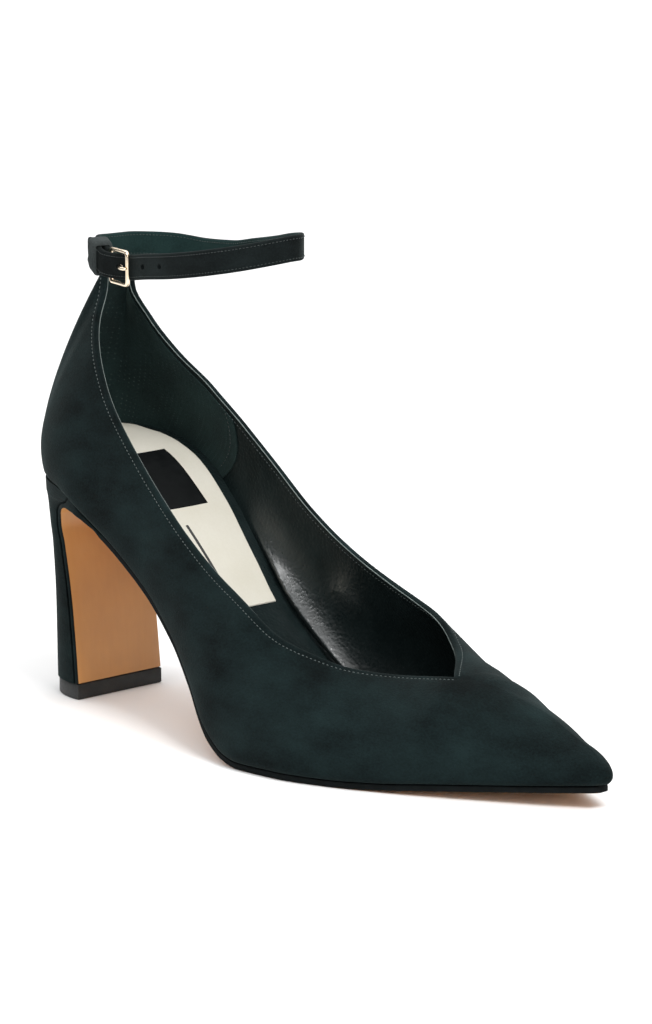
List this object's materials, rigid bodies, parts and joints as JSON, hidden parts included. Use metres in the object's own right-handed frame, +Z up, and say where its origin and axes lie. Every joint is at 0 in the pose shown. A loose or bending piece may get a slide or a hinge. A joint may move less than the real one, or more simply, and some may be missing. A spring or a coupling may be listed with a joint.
{
  "type": "heeled ankle-strap pump shoe",
  "caption": "Pointed suede pump with a V throat, covered block heel, thin leather sole and a buckled ankle strap sewn to the back; right shoe, hollow, standing on its sole.",
  "frame": {"origin": "on the floor, under the middle of the shoe's box", "axes": "+X forward to the toe, +Y to the inner side of the foot, +Z up"},
  "size_m": [0.2274, 0.0792, 0.1523],
  "materials": {
    "suede": "very dark green suede with a soft uneven nap",
    "sock": "smooth cream lining leather, black ahead of the arch",
    "sole_leather": "smooth tan sole leather with a dark edge",
    "lift": "hard dark wearing piece, satin",
    "buckle_metal": "polished light gold"
  },
  "bodies": {
    "root": {"upper": "suede", "insole": "sock", "outsole": "sole_leather", "heel": "suede", "top_lift": "lift", "ankle_strap": "suede", "strap_keeper": "suede", "buckle_frame": "buckle_metal", "buckle_prong": "buckle_metal"}
  },
  "joints": []
}
